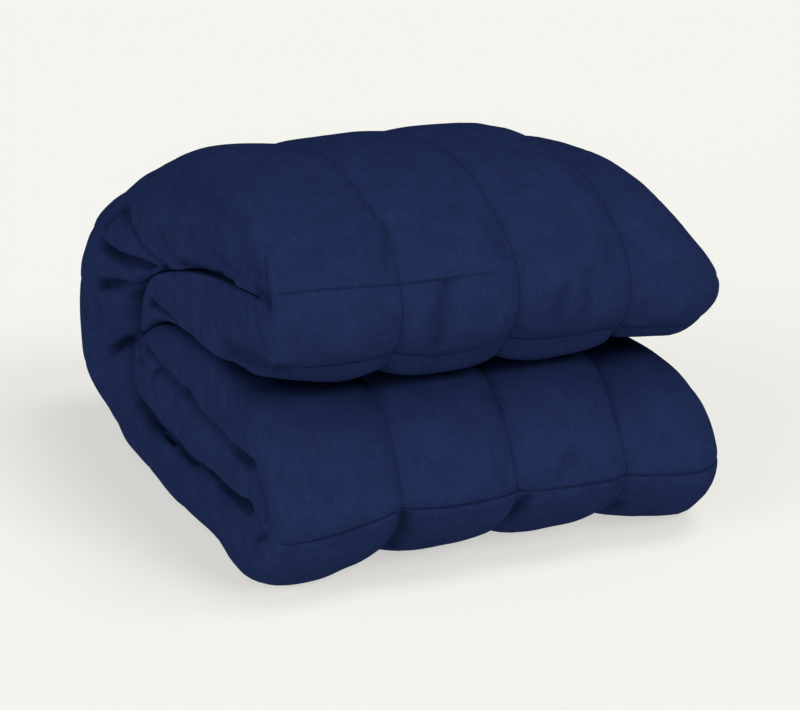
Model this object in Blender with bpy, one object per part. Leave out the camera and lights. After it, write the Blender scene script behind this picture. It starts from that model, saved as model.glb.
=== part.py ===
"""Weighted blanket, quilted in squares and folded into a thick stack.

The ends of the blanket are turned in to the middle, which makes a strip four squares wide. Both ends
of the strip are turned back inside it, and the strip is folded once more about its middle, at the back.
All of it is one filled body: the section below is its layers, back and forth, a little apart, and the
body is that section drawn across the width with a raised pocket in every stitched square.
Metres, +X to the right along the front, front towards -Y, +Z up, resting on z = 0.
"""
import math

import bmesh
import bpy

SQUARE = 0.095  # one stitched square, drawn up by its filling
SEAMS_ACROSS = (-1.0, 0.0, 1.0)  # seams that run with the strip, in squares
RIGHT = 2.03  # right edge of the strip, in squares
INNER_ROUNDING = 0.26  # rounding of both edges on the inner face, in squares
LEFT_MIDDLE = 0.375  # how far through the layer the left edge stands out most, from its inner face
RIGHT_MIDDLE = 0.275
EDGE_PUFF = 0.04  # how far a pocket bulges sideways at the edge, in squares
# How the top sags towards the right edge: from which x, over what width and by how much, in squares.
SAGS = ((0.72, 0.45, 0.15), (1.45, 0.70, 0.43))
HEIGHT = 3.2  # height of the stack, in squares
TIP = 0.10  # how far a free end stands out past its last row, in squares
STEPS = (0.0, 0.14, 0.5, 0.86)  # stations across one pocket, as shares of it
EDGE_STEPS = (0.09, 0.26, 0.43, 0.59, 0.74, 0.88)  # from an edge pocket's seam to its open side
EDGE_FULL = 0.65  # how full an edge pocket is at its open side
LEFT_FULLNESS = 2.6  # exponents of the rounded edges: 2 is a circle
RIGHT_FULLNESS = 1.9

# Every stitched seam that crosses the strip, from the free end of the upper inner layer, round the upper
# front roll, over the top, round the spine, along the bottom, round the lower front roll and in again.
# Lengths in squares. outer and inner: where the seam lies on each face. puff: how far the pocket after
# the seam rises from that face. left: left edge. left_round, right_round: rounding of the outer face.
# slip: how far the seam strays along the strip at the left edge, as a share of a pocket.
COLUMNS = (
    "name", "outer_y", "outer_z", "inner_y", "inner_z", "outer_puff", "inner_puff",
    "left", "left_round", "right_round", "slip",
)
SEAMS = (
    ("upper_free_end", 1.25, 1.38, 1.33, 1.63, 0.03, 0.01, -1.95, 0.20, 0.50, 0.0),
    ("upper_inner_3", 0.70, 1.50, 0.79, 1.90, 0.04, 0.01, -1.97, 0.30, 0.50, 0.0),
    ("upper_inner_2", -0.12, 1.595, -0.02, 2.145, 0.03, 0.01, -2.00, 0.36, 0.55, 0.0),
    ("upper_inner_1", -0.93, 1.65, -0.82, 2.30, 0.07, 0.00, -2.03, 0.34, 0.60, 0.0),
    ("upper_roll_3", -2.03, 1.92, -1.52, 2.345, 0.12, 0.00, -2.08, 0.20, 0.62, 0.0),
    ("upper_roll_2", -2.18, 2.54, -1.62, 2.385, 0.11, 0.00, -2.09, 0.20, 0.85, 0.13),
    ("upper_roll_1", -1.55, 3.06, -1.44, 2.42, 0.08, 0.00, -2.09, 0.30, 0.95, 0.0),
    ("top_1", -0.60, 3.21, -0.66, 2.355, 0.07, 0.01, -2.10, 0.50, 1.00, 0.0),
    ("top_2", 0.33, 3.10, 0.11, 2.19, 0.07, 0.01, -2.10, 0.64, 1.00, 0.0),
    ("top_3", 1.17, 2.82, 0.80, 1.955, 0.06, 0.01, -2.10, 0.68, 1.00, 0.0),
    ("top_4", 1.99, 2.45, 1.34, 1.69, 0.06, 0.01, -2.09, 0.62, 1.00, 0.0),
    ("spine_1", 2.67, 2.01, 1.57, 1.52, 0.06, 0.01, -2.08, 0.42, 1.00, 0.0),
    ("spine_2", 3.15, 1.38, 1.63, 1.30, 0.06, 0.01, -2.08, 0.36, 0.90, 0.0),
    ("spine_3", 2.95, 0.51, 1.64, 1.09, 0.07, 0.01, -2.10, 0.35, 0.80, 0.0),
    ("bottom_4", 2.14, 0.11, 1.56, 0.84, 0.10, 0.01, -2.06, 0.37, 0.60, 0.0),
    ("bottom_3", 1.11, 0.045, 1.02, 0.60, 0.13, 0.01, -2.07, 0.42, 0.50, 0.0),
    ("bottom_2", 0.15, 0.045, 0.15, 0.58, 0.13, 0.01, -2.10, 0.39, 0.50, 0.0),
    ("bottom_1", -0.80, 0.045, -0.79, 0.58, 0.13, 0.00, -2.10, 0.36, 0.42, 0.0),
    ("lower_roll_1", -1.60, 0.08, -1.44, 0.59, 0.10, 0.00, -2.11, 0.26, 0.36, 0.0),
    ("lower_roll_2", -2.26, 0.70, -1.61, 0.625, 0.12, 0.00, -2.10, 0.20, 0.44, -0.13),
    ("lower_roll_3", -1.77, 1.45, -1.49, 0.665, 0.05, 0.00, -2.08, 0.22, 0.72, 0.0),
    ("lower_inner_1", -0.80, 1.53, -0.72, 0.645, 0.02, 0.01, -2.05, 0.30, 0.72, 0.0),
    ("lower_inner_2", 0.13, 1.475, 0.11, 0.64, 0.02, 0.01, -2.03, 0.30, 0.55, 0.0),
    ("lower_inner_3", 0.80, 1.39, 0.79, 0.65, 0.02, 0.01, -2.01, 0.30, 0.60, 0.0),
    ("lower_free_end", 1.34, 1.24, 1.42, 0.80, 0.00, 0.00, -1.98, 0.22, 0.60, 0.0),
)


def smooth(t):
    """0 below 0, 1 above 1, an even ramp between."""
    t = min(max(t, 0.0), 1.0)
    return t * t * (3 - 2 * t)


def pocket(t):
    """Height of a filled pocket at share t of it: steep at its seams, round in its middle."""
    return max(0.0, 1 - abs(2 * t - 1) ** 2.3) ** 0.75


def seam(at):
    """The columns of SEAMS at a place along the strip, on a smooth curve through all the rows."""
    k = int(min(max(math.floor(at), 0), len(SEAMS) - 2))
    t = at - k
    row = {}
    for i, name in enumerate(COLUMNS[1:], 1):
        b = SEAMS[k][i]
        c = SEAMS[k + 1][i]
        a = SEAMS[k - 1][i] if k else 2 * b - c
        d = SEAMS[k + 2][i] if k + 2 < len(SEAMS) else 2 * c - b
        slope_b = (c - a) / 2
        slope_c = (d - b) / 2
        row[name] = (
            b * (1 - 3 * t**2 + 2 * t**3) + slope_b * (t - 2 * t**2 + t**3)
            + c * (3 * t**2 - 2 * t**3) + slope_c * (t**3 - t**2)
        )
    return row


def edge_points(left, face, rounding, fullness):
    """Points over one face of an edge pocket, from its seam to the open side."""
    side, seam_x, edge_x, middle = 1, SEAMS_ACROSS[-1], RIGHT, RIGHT_MIDDLE
    if left is not None:
        side, seam_x, edge_x, middle = -1, SEAMS_ACROSS[0], left, LEFT_MIDDLE
    flat = abs(edge_x - seam_x) - rounding
    arc = 0.8 * rounding + 0.35
    reach = 1 - middle if face > 0 else middle
    points = []
    for share in EDGE_STEPS:
        walked = share * (flat + arc)
        angle = math.pi / 2 * max(walked - flat, 0.0) / arc
        x = seam_x + side * walked
        if angle > 0:
            x = edge_x - side * rounding * (1 - math.sin(angle) ** (2 / fullness))
        rise = math.cos(angle) ** (2 / fullness)
        full = 1 - 0.35 * (2 * share - 1) ** 2 if share > 0.5 else pocket(share)
        points.append((x, middle + face * reach * rise, face, side * math.sin(angle), full))
    return points


def ring(row):
    """Points round the layer at one row: x, share of the way through the layer, face, edge, fullness."""
    left = row["left"]
    pairs = zip(SEAMS_ACROSS, SEAMS_ACROSS[1:])
    inside = [(a + (b - a) * step, pocket(step)) for a, b in pairs for step in STEPS]
    inside.append((SEAMS_ACROSS[-1], 0.0))
    points = [(x, 1.0, 1, 0.0, full) for x, full in inside]
    points += edge_points(None, 1, row["right_round"], RIGHT_FULLNESS)
    points.append((RIGHT, RIGHT_MIDDLE, 0, 1.0, EDGE_FULL))
    points += reversed(edge_points(None, -1, INNER_ROUNDING, RIGHT_FULLNESS))
    points += [(x, 0.0, -1, 0.0, full) for x, full in reversed(inside)]
    points += edge_points(left, -1, INNER_ROUNDING, LEFT_FULLNESS)
    points.append((left, LEFT_MIDDLE, 0, -1.0, EDGE_FULL))
    points += reversed(edge_points(left, 1, row["left_round"], LEFT_FULLNESS))
    return points


def place(x, y, z):
    """A point of the stack in metres: lower at the right edge, and flat where it rests."""
    drop = sum(fall * smooth((x - start) / over) for start, over, fall in SAGS)
    drop *= (max(z, 0.0) / HEIGHT) ** 3
    return (x * SQUARE, y * SQUARE, max(z - drop, 0.0) * SQUARE)


def section(at):
    """The ring of points at one place along the strip."""
    here = seam(at)
    first = SEAMS[min(int(at), len(SEAMS) - 2)]
    puffs = dict(zip(COLUMNS, first))
    lift = pocket(at - int(min(int(at), len(SEAMS) - 2)))
    points = []
    for x, share, face, edge, full in ring(here):
        strayed = at + here["slip"] * smooth((SEAMS_ACROSS[0] - x) / 1.05)
        row = seam(min(max(strayed, 0.0), len(SEAMS) - 1.0))
        dy = row["outer_y"] - row["inner_y"]
        dz = row["outer_z"] - row["inner_z"]
        length = math.hypot(dy, dz)
        puff = (puffs["outer_puff"] + puffs["inner_puff"]) / 2
        if face:
            puff = puffs["outer_puff"] if face > 0 else puffs["inner_puff"]
        out = share + (2 * share - 1) * puff * lift * full / length
        y = row["inner_y"] + dy * out
        z = row["inner_z"] + dz * out
        points.append(place(x + EDGE_PUFF * lift * edge, y, z))
    return points


def free_end(mesh, verts, at, towards):
    """Closes one end of the strip with a low point past its last row."""
    here = seam(at)
    near = seam(at - 0.05 * towards)
    dy = here["outer_y"] + here["inner_y"] - near["outer_y"] - near["inner_y"]
    dz = here["outer_z"] + here["inner_z"] - near["outer_z"] - near["inner_z"]
    length = math.hypot(dy, dz)
    y = (here["outer_y"] + here["inner_y"]) / 2 + TIP * dy / length
    z = (here["outer_z"] + here["inner_z"]) / 2 + TIP * dz / length
    tip = mesh.verts.new(place((here["left"] + RIGHT) / 2, y, z))
    for a, b in zip(verts, verts[1:] + verts[:1]):
        mesh.faces.new((tip, a, b) if towards > 0 else (tip, b, a))


for old in list(bpy.data.objects):
    bpy.data.objects.remove(old)

blanket_parts = bpy.data.collections.new("weighted_blanket")
bpy.context.scene.collection.children.link(blanket_parts)

# The folded blanket: one ring of points for each station along the strip, joined into one closed skin.
skin = bmesh.new()
last = len(SEAMS) - 1
rings = []
for k in range(last):
    for step in STEPS:
        rings.append([skin.verts.new(p) for p in section(k + step)])
rings.append([skin.verts.new(p) for p in section(float(last))])
for one, two in zip(rings, rings[1:]):
    for a, b, c, d in zip(one, one[1:] + one[:1], two[1:] + two[:1], two):
        skin.faces.new((a, b, c, d))
free_end(skin, rings[0], 0.0, -1)
free_end(skin, rings[-1], float(last), 1)
bmesh.ops.recalc_face_normals(skin, faces=skin.faces)
bmesh.ops.triangulate(skin, faces=skin.faces)
middle_x = (max(v.co.x for v in skin.verts) + min(v.co.x for v in skin.verts)) / 2
middle_y = (max(v.co.y for v in skin.verts) + min(v.co.y for v in skin.verts)) / 2
bmesh.ops.translate(skin, verts=skin.verts, vec=(-middle_x, -middle_y, 0.0))
for face in skin.faces:
    face.smooth = True
blanket_mesh = bpy.data.meshes.new("blanket")
skin.to_mesh(blanket_mesh)
skin.free()
blanket = bpy.data.objects.new("blanket", blanket_mesh)
blanket_parts.objects.link(blanket)

cloth = bpy.data.materials.new("navy_cloth")
cloth.use_nodes = True
shader = cloth.node_tree.nodes["Principled BSDF"]
shader.inputs["Base Color"].default_value = (0.016, 0.028, 0.085, 1.0)
shader.inputs["Roughness"].default_value = 0.9
shader.inputs["Metallic"].default_value = 0.0
blanket.data.materials.append(cloth)
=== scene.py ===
"""Looks for the folded weighted blanket: its quilted navy cover, a studio floor, light and a camera."""

import math

import bpy
import numpy as np
from mathutils import Matrix, Vector, noise
from mathutils.bvhtree import BVHTree


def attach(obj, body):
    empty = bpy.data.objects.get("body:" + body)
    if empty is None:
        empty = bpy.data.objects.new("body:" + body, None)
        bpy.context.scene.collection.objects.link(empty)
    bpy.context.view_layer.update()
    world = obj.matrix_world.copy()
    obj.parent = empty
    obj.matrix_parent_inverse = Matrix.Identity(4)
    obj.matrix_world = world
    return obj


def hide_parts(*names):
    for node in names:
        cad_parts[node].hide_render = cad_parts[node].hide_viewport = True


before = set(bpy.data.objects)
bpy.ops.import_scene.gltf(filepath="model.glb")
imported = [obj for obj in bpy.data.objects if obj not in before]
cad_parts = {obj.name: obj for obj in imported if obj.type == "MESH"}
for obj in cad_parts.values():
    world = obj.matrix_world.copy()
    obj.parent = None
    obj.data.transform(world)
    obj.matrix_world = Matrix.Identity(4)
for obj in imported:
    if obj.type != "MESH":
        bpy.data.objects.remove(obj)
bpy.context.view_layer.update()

# ---------------------------------------------------------------------------------------------------
# The folded body. The real blanket is two layers of linen-look cloth quilted in squares over fibre and
# glass beads. Its ends are turned in to make a strip four squares wide, both ends of the strip are
# turned back inside, and the strip is folded once more at the back, so it lies as one thick stack.
SQUARE = 0.095  # one stitched square, drawn up by its filling, in metres
STACK_MIDDLE = (-0.0384, 0.4317)  # middle of the stack's footprint, in squares
CHANNELS = (-1.0, 0.0, 1.0)  # seams along the strip, in squares
RIGHT_EDGE = 2.03
HEIGHT = 3.2
# How the top slumps towards the right: from which X, over what width and by how much, in squares.
SLUMP = ((0.72, 0.45, 0.15), (1.45, 0.70, 0.43))

# Cross seams from the upper free end round to the lower one, in squares: where each lies on the outer
# and inner face, the rise of the pocket after it on both faces, the left edge, the rounding of both edges,
# how boxy the left one is (2 is round), its rounding towards the inside, and how many rows of faces the
# pocket after it gets.
SEAM_COLUMNS = ("outer_y", "outer_z", "inner_y", "inner_z", "outer_puff", "inner_puff", "left",
                "left_round", "right_round", "left_boxy", "left_under", "rows")
CROSS_SEAMS = {
    "upper_free_end": (1.3, 1.3, 1.2, 1.56, 0.03, 0.01, -1.98, 0.14, 0.5, 4.5, 0.04, 18),
    "upper_inner_3": (0.7, 1.5, 0.79, 1.905, 0.03, 0.01, -2.02, 0.14, 0.5, 5.0, 0.03, 18),
    "upper_inner_2": (-0.12, 1.6, -0.02, 2.155, 0.03, 0.01, -2.04, 0.16, 0.55, 5.0, 0.03, 18),
    "upper_inner_1": (-0.93, 1.65, -0.82, 2.31, 0.04, 0, -2.05, 0.16, 0.5, 5.0, 0.03, 24),
    "upper_roll_3": (-2.05, 1.94, -1.52, 2.345, 0.075, 0, -2.07, 0.13, 0.52, 4.5, 0.018, 34),
    "upper_roll_2": (-2.2, 2.54, -1.62, 2.345, 0.075, 0, -2.07, 0.12, 0.85, 4.5, 0.018, 34),
    "upper_roll_1": (-1.55, 3.05, -1.44, 2.42, 0.05, 0, -2.08, 0.2, 0.95, 3.6, 0.022, 28),
    "top_1": (-0.6, 3.22, -0.66, 2.355, 0.035, 0.01, -2.1, 0.5, 1.0, 2.6, 0.05, 26),
    "top_2": (0.33, 3.12, 0.11, 2.19, 0.03, 0.01, -2.1, 0.66, 1.0, 2.6, 0.08, 26),
    "top_3": (1.17, 2.83, 0.8, 1.955, 0.03, 0.01, -2.1, 0.69, 1.0, 2.6, 0.1, 26),
    "top_4": (1.99, 2.45, 1.34, 1.69, 0.03, 0.01, -2.1, 0.6, 1.0, 2.6, 0.16, 26),
    "spine_1": (2.68, 2.01, 1.57, 1.52, 0.03, 0.01, -2.08, 0.42, 1.0, 2.8, 0.24, 28),
    "spine_2": (3.15, 1.38, 1.63, 1.3, 0.03, 0.01, -2.07, 0.38, 0.9, 3.0, 0.3, 28),
    "spine_3": (2.96, 0.5, 1.64, 1.09, 0.04, 0.01, -2.1, 0.36, 0.8, 3.0, 0.3, 22),
    "bottom_4": (2.14, 0.1, 1.56, 0.84, 0.08, 0.01, -2.03, 0.38, 0.6, 3.0, 0.2, 20),
    "bottom_3": (1.11, 0.045, 1.02, 0.6, 0.1, 0.01, -2.06, 0.4, 0.5, 3.0, 0.12, 16),
    "bottom_2": (0.15, 0.045, 0.15, 0.58, 0.1, 0.01, -2.09, 0.38, 0.5, 3.0, 0.1, 16),
    "bottom_1": (-0.8, 0.045, -0.79, 0.58, 0.1, 0, -2.09, 0.38, 0.42, 3.0, 0.1, 16),
    "lower_roll_1": (-1.6, 0.08, -1.44, 0.59, 0.075, 0, -2.09, 0.26, 0.3, 3.6, 0.11, 34),
    "lower_roll_2": (-2.25, 0.7, -1.61, 0.625, 0.075, 0, -2.09, 0.14, 0.38, 4.5, 0.08, 34),
    "lower_roll_3": (-1.74, 1.39, -1.49, 0.665, 0.055, 0, -2.07, 0.14, 0.66, 4.5, 0.04, 24),
    "lower_inner_1": (-0.8, 1.55, -0.72, 0.645, 0.02, 0.01, -2.05, 0.18, 0.66, 5.0, 0.05, 26),
    "lower_inner_2": (0.13, 1.49, 0.11, 0.64, 0.02, 0.01, -2.04, 0.18, 0.5, 5.0, 0.05, 18),
    "lower_inner_3": (0.8, 1.4, 0.79, 0.65, 0.02, 0.01, -2.02, 0.16, 0.6, 5.0, 0.05, 18),
    "lower_free_end": (1.34, 1.21, 1.42, 0.8, 0, 0, -2.01, 0.14, 0.6, 4.5, 0.04, 0),
}
# What the folding has done to some of them: how far the seam strays along the strip at the left and at the
# right, how far the inner face is drawn forward at the left, how far the outer face is raised there, and
# how far the inner one is.
STRAY_COLUMNS = ("slip_left", "slip_right", "drawn", "raised", "closed")
STRAYS = {
    "upper_free_end": (0, 0, 0, 0, 0.02),
    "upper_inner_3": (0, 0, 0, 0.08, 0.027),
    "upper_inner_2": (0, 0, 0, 0.08, 0.038),
    "upper_inner_1": (0, 0, 0.02, 0.05, 0.045),
    "upper_roll_3": (-0.1, 0, 0.2, 0, 0.035),
    "upper_roll_2": (-0.05, 0.07, 0.34, 0, 0),
    "upper_roll_1": (0, 0, 0.2, 0, -0.03),
    "top_1": (0, 0, 0.02, 0, -0.01),
    "bottom_3": (0, 0, 0, 0, 0.02),
    "bottom_2": (0, 0, 0, 0, 0.035),
    "bottom_1": (0, 0, 0.02, 0, 0.035),
    "lower_roll_1": (0, 0, 0.12, 0, 0),
    "lower_roll_2": (0.15, 0.07, 0.18, 0, 0),
    "lower_roll_3": (0, 0, 0.12, 0.04, 0),
    "lower_inner_1": (0, 0, 0.02, 0.04, 0),
    "lower_inner_2": (0, 0, 0, 0.09, 0),
    "lower_inner_3": (0, 0, 0, 0.08, 0),
}
SEAM_NAMES = list(CROSS_SEAMS)
SEAM_ROWS = np.array([CROSS_SEAMS[name] + STRAYS.get(name, (0, 0, 0, 0, 0)) for name in SEAM_NAMES])
COLUMN_OF = {name: i for i, name in enumerate(SEAM_COLUMNS + STRAY_COLUMNS)}
LAST_SEAM = len(SEAM_NAMES) - 1


def seam_at(place):
    """Columns of CROSS_SEAMS and STRAYS at places on the strip, on a smooth curve through every row."""
    place = np.clip(place, 0, LAST_SEAM)
    k = np.minimum(place.astype(int), LAST_SEAM - 1)
    t = (place - k)[..., None]
    rows = np.vstack([2 * SEAM_ROWS[0] - SEAM_ROWS[1], SEAM_ROWS, 2 * SEAM_ROWS[-1] - SEAM_ROWS[-2]])
    a, b, c, d = rows[k], rows[k + 1], rows[k + 2], rows[k + 3]
    curve = 0.5 * (2 * b + (c - a) * t + (2 * a - 5 * b + 4 * c - d) * t**2
                   + (3 * b - a - 3 * c + d) * t**3)
    return {name: curve[..., i] for name, i in COLUMN_OF.items()}


def ramp(t):
    """0 below 0, 1 above 1, an even ramp between."""
    t = np.clip(t, 0, 1)
    return t * t * (3 - 2 * t)


def pillow(t, flatness=2.8):
    """Rise of a filled pocket across itself: steep at its seams, flatter in its middle."""
    return np.maximum(0, 1 - np.abs(2 * t - 1) ** flatness) ** 0.75


def closer_at_ends(count, ends=0.55):
    """Shares 0 to 1, closer together at both ends, where the stitching draws the cloth in."""
    even = np.linspace(0, 1, count + 1)
    return (1 - ends) * even + ends * (0.5 - 0.5 * np.cos(np.pi * even))


# Where each open side stands out most, as a share of the way from the inner face to the outer one; how
# boxy the right side is, and its rounding towards the inside, in squares.
LEFT_MIDDLE, RIGHT_MIDDLE = 0.375, 0.275
RIGHT_BOXY, RIGHT_UNDER = 1.75, 0.26


def edge_arc(row, face, share, left_side):
    """X, place through the layer, turn and share reached, from an edge pocket's seam to its open side."""
    if left_side:
        side, seam_x, edge_x, middle = -1, CHANNELS[0], row["left"][:, None], LEFT_MIDDLE
        size = row["left_round" if face > 0 else "left_under"][:, None]
        full, side_share = (row["left_boxy"][:, None], 1.05) if face > 0 else (2.2 + 0.14 / size, 2.8)
    else:
        side, seam_x, middle, full, side_share = 1, CHANNELS[-1], RIGHT_MIDDLE, RIGHT_BOXY, 0.35
        edge_x = np.full((len(row["left"]), 1), RIGHT_EDGE)
        size = row["right_round"][:, None] if face > 0 else np.full_like(edge_x, RIGHT_UNDER)
    flat = np.abs(edge_x - seam_x) - size
    arc = 0.8 * size + side_share
    walked = share[None, :] * (flat + arc)
    turned = np.clip((walked - flat) / arc, 0, 1)
    if left_side:  # keeps the columns evenly spaced round the boxy corners
        turned = turned**2 / (turned**2 + (1 - turned) ** 2)
    angle = np.pi / 2 * turned
    round_x = edge_x - side * size * (1 - np.sin(angle) ** (2 / full))
    x = np.where(angle > 0, round_x, seam_x + side * walked)
    reach = 1 - middle if face > 0 else middle
    through = middle + face * reach * np.cos(angle) ** (2 / full)
    reached = (np.abs(x - seam_x) + 0.22 * angle) / (np.abs(edge_x - seam_x) + 0.35)
    return x, through, side * np.sin(angle), reached.mean(axis=0)


# Stations along the strip, and the ring of points round the layer at each of them.
stations = np.concatenate(
    [k + closer_at_ends(int(n))[:-1] for k, n in enumerate(SEAM_ROWS[:-1, COLUMN_OF["rows"]])]
    + [[LAST_SEAM]])
here = seam_at(stations)
rows = len(stations)
outer_cols, inner_cols = 20, 6  # columns of points across a pocket, on each face
side_cols, right_under_cols, left_cols = 24, 9, 46
ring_x, ring_through, ring_turn, ring_face, ring_full, ring_pocket = [], [], [], [], [], []


def add_columns(x, through, turn, face, full, pocket):
    """Adds columns of points to the ring, each one value or one for every station."""
    for value, kept in ((x, ring_x), (through, ring_through), (turn, ring_turn)):
        kept.append(np.broadcast_to(value, (rows, len(full))))
    ring_face.append(np.full(len(full), face))
    ring_full.append(full)
    ring_pocket.append(np.full(len(full), pocket))


def add_edge(face, share, left_side, pocket):
    """Adds the columns of an edge pocket, which stays nearly full as far as its open side."""
    x, through, turn, reached = edge_arc(here, face or 1, share, left_side)
    full = np.where(reached > 0.5, 1 - 0.30 * (2 * reached - 1) ** 2, pillow(reached))
    add_columns(x, through, turn, face, full, pocket)


for pocket, start in enumerate(CHANNELS[:-1], 1):
    t = closer_at_ends(outer_cols)[:-1]
    add_columns(start + t[None, :], 1.0, 0.0, 1, pillow(t), pocket)
add_edge(1, closer_at_ends(side_cols, 0.3)[:-1], False, 3)
add_edge(0, np.array([1.0]), False, 3)
add_edge(-1, closer_at_ends(right_under_cols, 0.3)[::-1][1:], False, 3)
for pocket, start in ((2, CHANNELS[1]), (1, CHANNELS[0])):
    t = closer_at_ends(inner_cols)[::-1][1:]
    add_columns(start + t[None, :], 0.0, 0.0, -1, pillow(t), pocket)
add_edge(-1, closer_at_ends(side_cols, 0.2)[1:-1], True, 0)
add_edge(0, np.array([1.0]), True, 0)
add_edge(1, closer_at_ends(left_cols, 0.2)[::-1][1:-1], True, 0)
ring_x, ring_through, ring_turn = (np.concatenate(a, axis=1) for a in (ring_x, ring_through, ring_turn))
ring_face, ring_full, ring_pocket = (np.concatenate(a) for a in (ring_face, ring_full, ring_pocket))
columns = len(ring_face)

# The layer without its pockets: every point lies on the line from the inner face to the outer one.
on = {name: np.broadcast_to(value[:, None], ring_x.shape) for name, value in here.items()}
strayed = (stations[:, None] + on["slip_left"] * ramp((CHANNELS[0] + 0.2 - ring_x) / 1.2)
           + on["slip_right"] * ramp((ring_x - 0.6) / 1.2))
to_left = ramp((CHANNELS[0] - 0.15 - ring_x) / 0.8)
on["inner_y"] = on["inner_y"] - on["drawn"] * to_left
on["inner_z"] = on["inner_z"] + (0.45 * on["drawn"] + on["closed"]) * to_left
on["outer_z"] = on["outer_z"] + on["raised"] * to_left
body = np.stack([
    ring_x,
    on["inner_y"] + (on["outer_y"] - on["inner_y"]) * ring_through,
    on["inner_z"] + (on["outer_z"] - on["inner_z"]) * ring_through,
], axis=-1)

# The lowest pockets spread over the floor at the front, and their seams stray to the right there.
FOOT_STRAY, FOOT_BACK, LEFT_FOOT_OUT = 0.17, 0.15, 0.09
near_foot = np.clip(1 - np.abs(stations - 18.0) / 1.2, 0, 1)[:, None]
mid_foot = ramp((body[..., 0] + 1.35) / 0.5) * (1 - ramp((body[..., 0] - 0.9) / 0.9))
left_foot = ramp((-1.3 - body[..., 0]) / 0.3) * (1 - ramp((-1.75 - body[..., 0]) / 0.3))
at_foot = ramp(near_foot) * (ring_face > 0)
body[..., 0] += FOOT_STRAY * at_foot * np.maximum(0, 1 - (body[..., 0] - 0.4) ** 2 / 5)
body[..., 1] += at_foot * (FOOT_BACK * mid_foot - LEFT_FOOT_OUT * left_foot)


def outward(points):
    """Unit normals of a grid of points that is open along the strip and closed round the layer."""
    along = np.gradient(points, axis=0)
    around = np.roll(points, -1, axis=1) - np.roll(points, 1, axis=1)
    normal = np.cross(along, around)
    return normal / np.maximum(np.linalg.norm(normal, axis=-1, keepdims=True), 1e-9)


# Each stitched pocket rises by its own amount, since the beads never lie quite evenly.
UNEVEN = 0.12
random = np.random.default_rng(7)
rise_of = {face: SEAM_ROWS[:-1, [COLUMN_OF[column]]] * (1 + random.uniform(-UNEVEN, UNEVEN, (LAST_SEAM, 4)))
           for face, column in ((1, "outer_puff"), (-1, "inner_puff"))}
rise_of[0] = 0.5 * (rise_of[1] + rise_of[-1])
pocket_row = np.clip(strayed.astype(int), 0, LAST_SEAM - 1)
share_along = np.clip(strayed - pocket_row, 0, 1)
next_row = np.clip(pocket_row + np.where(share_along < 0.5, -1, 1), 0, LAST_SEAM - 1)
own = 0.5 + 0.5 * ramp(np.minimum(share_along, 1 - share_along) / 0.4)
rise = np.zeros_like(ring_x)
for face, table in rise_of.items():
    at_face = table[pocket_row, ring_pocket] * own + table[next_row, ring_pocket] * (1 - own)
    rise = np.where(ring_face == face, at_face, rise)
rise += (at_face - rise) * np.abs(ring_turn) ** 3  # the last table is that of the open sides
across_full = ring_full[None, :] * (1 - 0.8 * np.abs(ring_turn) ** 1.5)
# How deep a cross seam lies between its pockets, as a share of their rise, and how much each one shows at
# the left and at the right. On top, where the cloth is drawn tight, they nearly vanish.
CROSS_DEPTH = 0.12
SEAMS_SHOW = {"upper_roll_3": (0.95, 0.95), "upper_roll_2": (0.80, 0.15), "upper_roll_1": (0.0, 0.0),
              "lower_roll_3": (0.30, 0.15), "lower_roll_2": (1.0, 0.95),
              "top_3": (0.5, 0.9), "top_4": (0.5, 0.9), "spine_1": (0.7, 0.9), "spine_2": (0.8, 0.9),
              "spine_3": (0.8, 0.9), "bottom_4": (0.8, 0.9), "bottom_3": (0.8, 0.9),
              "bottom_2": (0.8, 0.9), "bottom_1": (0.8, 0.9)}
show_left, show_right = np.array([SEAMS_SHOW.get(name, (0.4, 0.4)) for name in SEAM_NAMES]).T
nearest_seam = np.clip(np.round(strayed), 0, LAST_SEAM).astype(int)
right_part = ramp((ring_x + 0.6) / 0.9)
seam_shows = show_left[nearest_seam] * (1 - right_part) + show_right[nearest_seam] * right_part
dip = CROSS_DEPTH * seam_shows * (1 - pillow(share_along, 4.0))
lift = rise * (1 - dip) * across_full
# Two pockets sag or swell more than the rest where the rolls meet: from, middle, to, height, how much
# of it each pocket across the strip takes, and over what width it fades towards the left side.
for start, middle, end, height, sides, fade in ((3.2, 3.72, 4.00, 0.140, (0.80, 1.0, 1.0, 0.45), 0.9),
                                                (19.3, 20.05, 20.8, 0.100, (0.80, 1.0, 0.9, 0.30), 0.1)):
    bump = np.where(strayed < middle, ramp((strayed - start) / (middle - start)),
                    ramp((end - strayed) / (end - middle)))
    bump = bump * np.array(sides)[ring_pocket] * ramp((ring_x + 2.2) / fade)
    lift += height * bump * (0.75 + 0.25 * across_full) * (ring_face > 0)
normal = outward(body)
if (normal[..., 2] * (ring_face > 0))[stations.searchsorted(7.5)].sum() < 0:
    normal = -normal

# Every seam is also a narrow stitched groove, pulled tightest across the front, where it puckers.
GROOVE_WIDTH, GROOVE, CHANNEL_GROOVE, PUCKER, PUCKER_WIDTH = 0.017, 0.014, 0.007, 0.008, 0.13
BROAD_LUMPS, FINE_LUMPS = 0.022, 0.007
place_length = np.linalg.norm(np.gradient(body, axis=0), axis=-1) / np.gradient(stations)[:, None]
off_cross = np.abs(strayed - nearest_seam) * place_length
off_channel = np.min([np.abs(ring_x - channel) for channel in CHANNELS], axis=0)


def noise_of(points):
    """Smooth noise from -1 to 1 at a grid of points."""
    flat = points.reshape(-1, 3).tolist()
    return np.array([noise.noise(Vector(p)) for p in flat]).reshape(points.shape[:-1])


def seam_noise(along_seam, seam, repeats):
    """Noise that changes along a seam and stays the same across it."""
    grid = np.stack([along_seam * repeats, seam * 7.3, np.zeros_like(along_seam)], axis=-1)
    return noise_of(grid)


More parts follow.
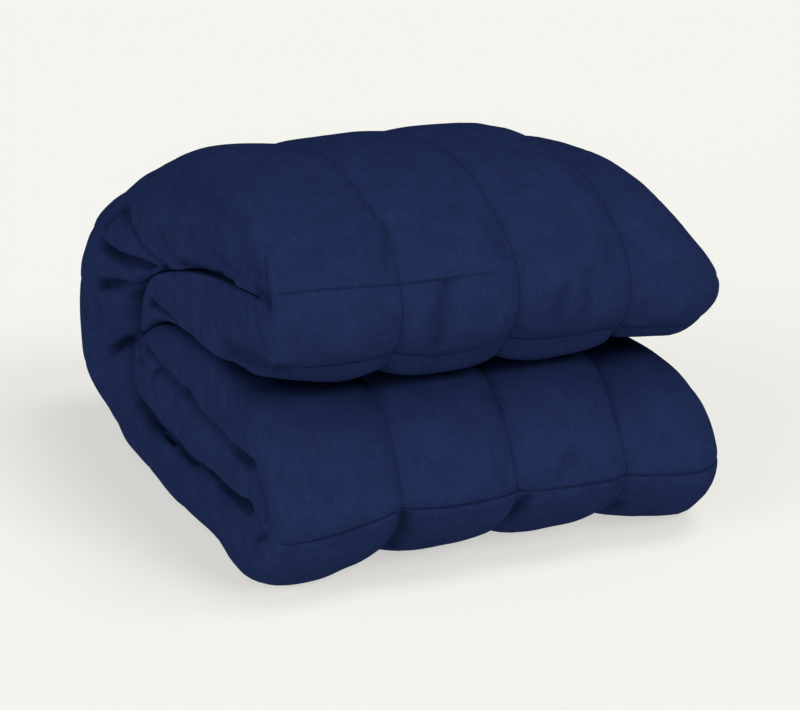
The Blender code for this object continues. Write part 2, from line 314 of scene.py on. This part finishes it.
cross_pucker = seam_noise(ring_x, nearest_seam + ring_face * 0.3, 5.5) * np.exp(-off_cross / PUCKER_WIDTH)
walked_along = np.cumsum(place_length * np.gradient(stations)[:, None], axis=0)
channel_pucker = seam_noise(walked_along, np.round(ring_x) + 40, 4.0) * np.exp(-off_channel / PUCKER_WIDTH)
seam_tight = seam_shows**2 * (1 - 0.9 * ramp(-1.2 * ring_turn))
relief = -GROOVE * seam_tight * np.exp(-((off_cross / GROOVE_WIDTH) ** 2))
relief -= CHANNEL_GROOVE * np.exp(-((off_channel / GROOVE_WIDTH) ** 2))
relief += PUCKER * (cross_pucker * seam_tight + 0.7 * channel_pucker)
relief += BROAD_LUMPS * noise_of(body * 1.4 + 5.0) + FINE_LUMPS * noise_of(body * 4.0 + 9.0)
hidden = ramp((3.2 - strayed) / 0.5) + ramp((strayed - 20.8) / 0.5)
relief *= np.where(ring_face < 0, 0.3 + 0.7 * ramp(2 * np.abs(ring_turn) - 1),
                   1 - 0.8 * hidden * (1 - ramp(-2 * ring_turn)))
# Below its side seam the turned-in lower end is a second thickness, which is lumpy.
on_left = ramp((-ring_turn - 0.30) / 0.35)
second_layer = ramp((0.60 - ring_through) / 0.10) * ramp((strayed - 19.3) / 0.5) * on_left
relief -= second_layer * (0.030 * noise_of(body * 2.6 + 21.0) - 0.012)

# Camera: a 120 mm lens about 2.25 m away, a little left of the front and looking slightly down.
FOCAL, SENSOR = 2667, 36  # in pixels and in mm
FRAME_WIDTH, FRAME_HEIGHT = 800, 710  # of the picture, in pixels
CAMERA_TURN, CAMERA_TILT = 0.41524793, 0.30935886  # to the left of the front, and down, in radians
CAMERA_OFFSET = (0.03250877, -1.14253771, 23.68447517)  # right, up and away, in squares
away = Vector((-math.sin(CAMERA_TURN) * math.cos(CAMERA_TILT),
               -math.cos(CAMERA_TURN) * math.cos(CAMERA_TILT), math.sin(CAMERA_TILT)))
rightwards = Vector((math.cos(CAMERA_TURN), -math.sin(CAMERA_TURN), 0))
upwards = away.cross(rightwards)
eye = away * CAMERA_OFFSET[2] - rightwards * CAMERA_OFFSET[0] - upwards * CAMERA_OFFSET[1]

# Creases in the cloth, on the open left side and across the front: the part of the strip they are on,
# their depth, width and the darkness of the shade painted along them, and their corners, as pixels of the
# camera's picture.
CREASES = {
    "deep_fold": (6.5, 13, 0.11, 0.045, 0.8, ((99, 243), (107, 250), (117, 257), (131, 262), (145, 267),
        (162, 271), (168, 270))),
    "second_fold": (6.5, 13, 0.09, 0.045, 0.75, ((98, 284), (110, 284), (125, 286), (143, 285))),
    "third_fold": (10.5, 15, 0.1, 0.045, 0.85, ((112, 350), (118, 346), (125, 342), (133, 340))),
    "pucker": (6.5, 13, 0.08, 0.032, 0.7, ((104, 226), (110, 218), (116, 211), (122, 208), (128, 210),
        (128, 216))),
    "pucker_hollow": (6.5, 13, 0.05, 0.07, 0.3, ((121, 216), (126, 218))),
    "fan_5": (6.5, 11, 0.03, 0.028, 0.4, ((128, 216), (129, 217), (132, 228), (138, 240), (147, 252),
        (158, 262), (173, 269))),
    "fan_4": (6.5, 11, 0.022, 0.03, 0.3, ((161, 235), (170, 252), (178, 262), (189, 271))),
    "fan_3": (6.5, 11, 0.03, 0.08, 0.1, ((184, 225), (195, 243), (206, 258), (214, 270))),
    "fan_2": (4.8, 9, 0.018, 0.028, 0.22, ((207, 247), (221, 258), (238, 274))),
    "fan_1": (4.8, 9, 0.014, 0.028, 0.2, ((250, 262), (260, 273), (267, 288))),
    "corner_line": (4.8, 7, 0.014, 0.018, 0.45, ((265, 257), (266, 276), (269, 293))),
    "corner_hollow": (3.5, 6.3, 0.035, 0.05, 0.45, ((255, 290), (266, 296), (268, 304))),
    "fold_mouth": (6.2, 10, 0.05, 0.07, 0.55, ((180, 267), (200, 272), (222, 280), (236, 286))),
    "under_roll": (2.8, 4.6, 0.083, 0.12, 0.4, ((224, 353), (245, 361), (263, 370), (283, 375))),
    "hem_pocket": (-1, 3, 0.08, 0.03, 0.9, ((149, 301), (152, 303))),
    "turned_hem": (-1, 3, 0.035, 0.022, 0.6, ((152, 303), (162, 311), (170, 317), (178, 324))),
    "side_seam": (18.9, 25, 0.045, 0.028, 0.5, ((144, 345), (158, 365), (167, 374), (180, 389), (189, 396),
        (200, 414), (216, 429), (231, 448), (242, 457), (250, 463))),
    "seam_pinch": (18.9, 25, 0.05, 0.035, 0.7, ((180, 389), (189, 396))),
    "seam_corner": (18.9, 25, 0.05, 0.04, 0.6, ((232, 449), (242, 457), (250, 463))),
    "lower_corner": (18.9, 25, 0.03, 0.03, 0.35, ((253, 462), (256, 478), (262, 490), (265, 505),
        (265, 520))),
    "side_tuck": (18.9, 25, 0.05, 0.025, 0.7, ((153, 374), (158, 370))),
    "under_end_1": (13, 18.6, 0.03, 0.1, 0.4, ((141, 399), (150, 413), (162, 428))),
    "under_end_2": (13, 18.6, 0.05, 0.04, 0.85, ((167, 434), (176, 442))),
    "under_end_3": (13, 18.6, 0.03, 0.05, 0.45, ((182, 448), (197, 462))),
    "under_end_4": (13, 18.6, 0.01, 0.03, 0.25, ((222, 484), (235, 495), (249, 512))),
    "seam_end": (18.6, 25, 0.05, 0.028, 0.65, ((140, 340), (140, 352), (141, 363))),
    "corner_foot": (17.6, 20, 0.03, 0.03, 0.45, ((255, 540), (265, 536))),
    "upper_left_stroke": (4.0, 5, 0.045, 0.06, 0.32, ((447, 282), (445, 300), (441, 325), (437, 345))),
    "by_first_channel": (5.0, 6, 0.014, 0.028, 0.22, ((385, 240), (386, 258), (387, 274))),
    "upper_middle_stroke": (4.0, 5, 0.03, 0.055, 0.24, ((565, 290), (562, 305), (558, 322))),
    "upper_middle_pleat": (4.0, 5, 0.02, 0.03, 0.25, ((588, 272), (588, 290), (587, 310))),
    "upper_right_hollow": (4.0, 5, 0.02, 0.06, 0.15, ((645, 300), (640, 315))),
    "first_channel_top": (5.0, 6.2, 0.012, 0.02, 0.4, ((382, 222), (388, 238), (393, 253))),
    "second_channel_top": (5.0, 6.2, 0.022, 0.06, 0.15, ((488, 222), (498, 237), (506, 255))),
    "third_channel_top": (5.0, 6.2, 0.016, 0.05, 0.15, ((600, 225), (608, 243), (615, 257))),
    "first_foot": (17.5, 19, 0.05, 0.055, 0.42, ((405, 516), (405, 526), (398, 540), (388, 548))),
    "second_foot": (17.5, 19, 0.06, 0.05, 0.48, ((529, 500), (522, 505), (512, 516), (499, 525))),
    "third_foot": (17.5, 19, 0.05, 0.045, 0.38, ((622, 503), (614, 510))),
    "under_third_seam": (17.5, 19, 0.03, 0.04, 0.25, ((617, 480), (620, 490))),
    "above_lower_seam": (19.0, 20, 0.026, 0.05, 0.22, ((560, 477), (566, 466), (571, 456))),
    "by_second_channel": (19.0, 20, 0.011, 0.032, 0.12, ((504, 470), (505, 484))),
    "lower_right_hollow": (17.5, 19, 0.015, 0.055, 0.1, ((655, 478), (646, 492))),
}


def off_line(points, corners):
    """Distance of every point from a line of straight pieces in space."""
    nearest = np.full(len(points), np.inf)
    for start, end in zip(corners[:-1], corners[1:]):
        run = np.subtract(end, start)
        share = np.clip((points - start) @ run / (run @ run), 0, 1)
        nearest = np.minimum(nearest, np.linalg.norm(points - start - share[:, None] * run, axis=-1))
    return nearest


def seen_on(part, pixel):
    """Where the camera sees a part of the layer at a pixel, in squares."""
    ray = rightwards * (pixel[0] - FRAME_WIDTH / 2) - upwards * (pixel[1] - FRAME_HEIGHT / 2) - away * FOCAL
    return np.array(part.ray_cast(eye, ray.normalized())[0])


SIDE_SWELL = 0.015  # how far a pocket swells sideways at its open side, in squares
in_tuck = np.zeros_like(relief)
body = body + normal * (lift + relief)[..., None]
body[..., 0] += SIDE_SWELL * pillow(share_along) * ring_turn
pressed_in = np.zeros_like(relief)
layer_points = [Vector(point) for point in body.reshape(-1, 3).tolist()]
layer_index = np.arange(len(layer_points)).reshape(strayed.shape)
next_index = np.roll(layer_index, -1, axis=1)
layer_cells = np.stack([layer_index[:-1], next_index[:-1], next_index[1:], layer_index[1:]], axis=-1)
# Each crease is pressed into the layer, and painted shade is laid along it, darkest at its middle.
for first, last, depth, width, dark, pixels in CREASES.values():
    near = (strayed > first) & (strayed < last)
    part = BVHTree.FromPolygons(layer_points, layer_cells[near[:-1]].tolist())
    corners = [seen_on(part, pixel) for pixel in pixels]
    pressed = np.exp(-((off_line(body[near], corners) / width) ** 2))
    pressed_in[near] += depth * pressed
    in_tuck[near] = np.maximum(in_tuck[near], dark * pressed)
body -= normal * pressed_in[..., None]

# The filling sags towards the right on top.
drop = sum(fall * ramp((body[..., 0] - start) / over) for start, over, fall in SLUMP)
body[..., 2] = np.maximum(body[..., 2] - drop * (np.maximum(body[..., 2], 0) / HEIGHT) ** 3, 0)


def free_end(grid, outwards):
    """Rings that round off one free end of the strip, from its last ring to a small closed loop."""
    edge = grid[-1] if outwards > 0 else grid[0]
    inside = grid[-3] if outwards > 0 else grid[2]
    middle = edge.mean(axis=0)
    way = (edge - inside).mean(axis=0)
    way /= np.linalg.norm(way)
    flat = edge - middle
    flat_x = flat * np.array([1.0, 0.0, 0.0])
    thick = flat - flat_x
    half = np.linalg.norm(thick, axis=1).max()
    rings = []
    for turn in np.radians([25, 50, 70, 84]):
        shrink_x = flat_x * (1 - half * (1 - math.cos(turn)) / np.abs(flat_x[:, 0]).max())
        rings.append(middle + shrink_x + thick * math.cos(turn) + way * half * 0.8 * math.sin(turn))
    return rings


first_rings = free_end(body, -1)[::-1]
last_rings = free_end(body, 1)
body = np.concatenate([first_rings, body, last_rings])
rows = len(body)
body[..., 2] = np.maximum(body[..., 2], 0)
points = body.reshape(-1, 3)
index = np.arange(rows * columns).reshape(rows, columns)
quads = np.stack([index[:-1], np.roll(index[:-1], -1, 1), np.roll(index[1:], -1, 1), index[1:]], -1)
points = (points - np.array([*STACK_MIDDLE, 0.0])) * SQUARE
faces = [tuple(q) for q in quads.reshape(-1, 4).tolist()]
faces += [tuple(index[0][::-1].tolist()), tuple(index[-1].tolist())]
cover_mesh = bpy.data.meshes.new("quilted_cover")
cover_mesh.from_pydata(points.tolist(), [], faces)
cover_mesh.update()
cover = bpy.data.objects.new("quilted_cover", cover_mesh)
bpy.context.scene.collection.objects.link(cover)
bpy.ops.object.select_all(action="DESELECT")
cover.select_set(True)
bpy.context.view_layer.objects.active = cover
bpy.ops.object.shade_smooth()

# The weave follows the cloth: metres walked round the layer, and along the strip.
step_round = np.linalg.norm(np.roll(body, -1, 1) - body, axis=-1).mean(axis=0) * SQUARE
walked_round = np.concatenate([[0], np.cumsum(step_round)])
step_along = np.linalg.norm(np.diff(body[:, :outer_cols], axis=0), axis=-1).mean(axis=1) * SQUARE
walked_strip = np.concatenate([[0], np.cumsum(step_along)])
row_of, column_of = np.divmod(np.arange((rows - 1) * columns), columns)
corner_uv = np.stack([
    np.stack([walked_round[column_of], walked_strip[row_of]], -1),
    np.stack([walked_round[column_of + 1], walked_strip[row_of]], -1),
    np.stack([walked_round[column_of + 1], walked_strip[row_of + 1]], -1),
    np.stack([walked_round[column_of], walked_strip[row_of + 1]], -1)], axis=1).reshape(-1, 2)
end_uv = np.concatenate([np.stack([walked_round[:-1], np.full(columns, walked_strip[row])], -1)
                         for row in (0, -1)])
stitches = np.ones((rows, columns, 3))
# How wide the dark seam line is drawn, partly thread and partly painted shade of its groove.
line_width = np.array([1.9 if name == "upper_roll_3" else 1.15 for name in SEAM_NAMES])[nearest_seam]
past_seam = np.sin(np.pi * strayed) / np.pi * place_length / line_width
stitches[len(first_rings):-len(last_rings)] = np.stack([past_seam, off_channel, seam_tight], axis=-1)
seam_map = cover_mesh.attributes.new("off_seams", "FLOAT_VECTOR", "POINT")
seam_map.data.foreach_set("vector", stitches.ravel())
# Painted shade in the creases, kept on every point for the cloth's colour.
tuck_shade_grid = np.zeros((rows, columns))
tuck_shade_grid[len(first_rings):-len(last_rings)] = in_tuck
tuck_shade_map = cover_mesh.attributes.new("in_tuck", "FLOAT", "POINT")
tuck_shade_map.data.foreach_set("value", tuck_shade_grid.ravel())
weave_uv = cover_mesh.uv_layers.new(name="cloth")
weave_uv.data.foreach_set("uv", np.concatenate([corner_uv, end_uv]).ravel())
bpy.ops.object.select_all(action="DESELECT")


def hex_colour(value):
    """An sRGB hex colour as linear RGBA."""
    parts = [int(value[i:i + 2], 16) / 255 for i in (0, 2, 4)]
    return [c / 12.92 if c <= 0.04045 else ((c + 0.055) / 1.055) ** 2.4 for c in parts] + [1.0]


def add_node(tree, kind, settings=None, **inputs):
    """Adds a node. An input given as a node and a socket's name is linked, any other is a value; n0 is the
    first input, for nodes whose inputs share a name."""
    node = tree.nodes.new(kind)
    for name, value in (settings or {}).items():
        setattr(node, name, value)
    for name, value in inputs.items():
        numbered = name[0] == "n" and name[1:].isdigit()
        socket = node.inputs[int(name[1:])] if numbered else node.inputs[name]
        if isinstance(value, tuple) and isinstance(value[0], bpy.types.Node):
            tree.links.new(value[0].outputs[value[1]], socket)
        else:
            socket.default_value = value
    return node


# Navy linen-look cotton: matt, nearly no shine, with uneven slubbed threads both ways, and a soft
# mottle where the dye took unevenly. The real threads are about 0.4 mm apart; these are 1.2 mm.
THREAD = 0.0012
cloth = bpy.data.materials.new("navy_linen_weave")
cloth.use_nodes = True
tree = cloth.node_tree
shader = tree.nodes["Principled BSDF"]
on_cloth = add_node(tree, "ShaderNodeUVMap", {"uv_map": "cloth"})
fills = {}
for name, scale in (("weft", (260, 1 / THREAD, 1)), ("warp", (1 / THREAD, 260, 1)),
                    ("slub", (150, 420, 1)), ("streak", (380, 55, 1)), ("mottle", (45, 45, 1))):
    spread = add_node(tree, "ShaderNodeMapping", n0=(on_cloth, "UV"), Scale=scale)
    fills[name] = add_node(tree, "ShaderNodeTexNoise", Vector=(spread, "Vector"), Scale=1.0,
                           Detail=4.0 if name == "mottle" else 1.5, Roughness=0.55)
threads = add_node(tree, "ShaderNodeMath", {"operation": "ADD"},
                   n0=(fills["weft"], "Fac"), n1=(fills["warp"], "Fac"))
threads = add_node(tree, "ShaderNodeMath", {"operation": "MULTIPLY"}, n0=(threads, "Value"), n1=0.65)
slubs = add_node(tree, "ShaderNodeMath", {"operation": "ADD"},
                 n0=(fills["slub"], "Fac"), n1=(fills["streak"], "Fac"))
slubs = add_node(tree, "ShaderNodeMath", {"operation": "MULTIPLY"}, n0=(slubs, "Value"), n1=0.5)
grain = add_node(tree, "ShaderNodeMath", {"operation": "ADD"}, n0=(threads, "Value"), n1=(slubs, "Value"))
grain = add_node(tree, "ShaderNodeMath", {"operation": "ADD"},
                 n0=(grain, "Value"), n1=(fills["mottle"], "Fac"))
shade = add_node(tree, "ShaderNodeMapRange", Value=(grain, "Value"))
for socket, value in (("From Min", 1.26), ("From Max", 2.08)):
    shade.inputs[socket].default_value = value
tint = add_node(tree, "ShaderNodeMix", {"data_type": "RGBA"}, Factor=(shade, "Result"))
tint.inputs["A"].default_value = hex_colour("1b2545")
tint.inputs["B"].default_value = hex_colour("233057")
# The stitched lines are drawn darker, partly for the thread and partly as painted shade of the groove it
# sinks: seam distances are in squares.
LINE_HALF_WIDTH = 0.014
off_seams = add_node(tree, "ShaderNodeAttribute", {"attribute_name": "off_seams"})
off_seams = add_node(tree, "ShaderNodeSeparateXYZ", Vector=(off_seams, "Vector"))
off_across = add_node(tree, "ShaderNodeMath", {"operation": "ABSOLUTE"}, n0=(off_seams, "X"))
across_line = add_node(tree, "ShaderNodeMapRange", {"interpolation_type": "SMOOTHSTEP"},
                       Value=(off_across, "Value"))
along_line = add_node(tree, "ShaderNodeMapRange", {"interpolation_type": "SMOOTHSTEP"},
                      Value=(off_seams, "Y"))
for line, dark in ((across_line, 1.0), (along_line, 0.45)):
    for socket, value in (("From Min", 0.002), ("From Max", LINE_HALF_WIDTH), ("To Min", dark),
                          ("To Max", 0.0)):
        line.inputs[socket].default_value = value
across_line = add_node(tree, "ShaderNodeMath", {"operation": "MULTIPLY"},
                       n0=(across_line, "Result"), n1=(off_seams, "Z"))
thread_and_shade_darkening = add_node(tree, "ShaderNodeMath", {"operation": "MAXIMUM"},
                     n0=(across_line, "Value"), n1=(along_line, "Result"))
thread_and_shade_darkening = add_node(tree, "ShaderNodeMath", {"operation": "MULTIPLY"}, n0=(thread_and_shade_darkening, "Value"), n1=0.6)
# The painted shade in the creases darkens the colour just as the seam lines do.
tuck_shade_node = add_node(tree, "ShaderNodeAttribute", {"attribute_name": "in_tuck"})
thread_and_shade_darkening = add_node(tree, "ShaderNodeMath", {"operation": "MAXIMUM"},
                     n0=(thread_and_shade_darkening, "Value"), n1=(tuck_shade_node, "Fac"))
# Thread, painted groove shade and painted crease shade all mix the colour towards one dark navy.
sewn_and_shaded = add_node(tree, "ShaderNodeMix", {"data_type": "RGBA"}, Factor=(thread_and_shade_darkening, "Value"))
tree.links.new(tint.outputs["Result"], sewn_and_shaded.inputs["A"])
sewn_and_shaded.inputs["B"].default_value = hex_colour("0c1226")
tree.links.new(sewn_and_shaded.outputs["Result"], shader.inputs["Base Color"])
bump = add_node(tree, "ShaderNodeBump", Strength=0.35, Distance=0.0006, Height=(grain, "Value"))
tree.links.new(bump.outputs["Normal"], shader.inputs["Normal"])
shader.inputs["Roughness"].default_value = 0.92
shader.inputs["Specular IOR Level"].default_value = 0.0  # brushed matt cloth: any gloss turns the navy grey
cover.data.materials.append(cloth)
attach(cover, "root")
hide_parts("blanket")

# ---------------------------------------------------------------------------------------------------
# Studio floor: a seamless off-white sweep of matt paper, one large sheet under everything.
bpy.ops.mesh.primitive_plane_add(size=16, location=(0, 0, 0))
floor = bpy.context.object
floor.name = "studio_floor"
paper = bpy.data.materials.new("matt_white_paper")
paper.use_nodes = True
sweep = paper.node_tree.nodes["Principled BSDF"]
sweep.inputs["Base Color"].default_value = hex_colour("b1afa8")
sweep.inputs["Roughness"].default_value = 0.95
sweep.inputs["Specular IOR Level"].default_value = 0.1
# A faint glow of its own, as a lit sweep has, keeps the shadow on it pale.
sweep.inputs["Emission Color"].default_value = hex_colour("f4f3ef")
sweep.inputs["Emission Strength"].default_value = 0.60
floor.data.materials.append(paper)

# ---------------------------------------------------------------------------------------------------
# Light: a dim white room and three broad soft lamps, one in front on the right, one overhead and one low
# on the left that fills the open side. Each has the way that it comes from, its strength and its spread.
room = bpy.data.worlds.new("white_room")
bpy.context.scene.world = room
room.use_nodes = True
room.node_tree.nodes["Background"].inputs["Color"].default_value = (0.84, 0.93, 1.0, 1.0)
room.node_tree.nodes["Background"].inputs["Strength"].default_value = 0.17
LAMPS = {"soft_right": ((0.28, -0.76, 0.59), 1.34, 25), "soft_above": ((0.30, -0.20, 0.93), 0.94, 30),
         "soft_left": ((-0.88, -0.34, 0.35), 1.50, 50)}
for name, (way, strength, spread) in LAMPS.items():
    lamp_data = bpy.data.lights.new(name, "SUN")
    lamp_data.energy = strength
    lamp_data.angle = math.radians(spread)
    lamp = bpy.data.objects.new(name, lamp_data)
    lamp.rotation_mode = "QUATERNION"
    lamp.rotation_quaternion = Vector(way).to_track_quat("Z", "Y")
    bpy.context.scene.collection.objects.link(lamp)
bpy.context.scene.view_settings.view_transform = "Standard"

# ---------------------------------------------------------------------------------------------------
# Camera
spot = (eye - Vector((*STACK_MIDDLE, 0))) * SQUARE
camera_data = bpy.data.cameras.new("camera")
camera_data.sensor_width = SENSOR
camera_data.lens = FOCAL * SENSOR / FRAME_WIDTH
camera_data.clip_end = 50
camera = bpy.data.objects.new("camera", camera_data)
camera.matrix_world = Matrix.Translation(spot) @ Matrix((rightwards, upwards, away)).transposed().to_4x4()
bpy.context.scene.collection.objects.link(camera)
bpy.context.scene.camera = camera
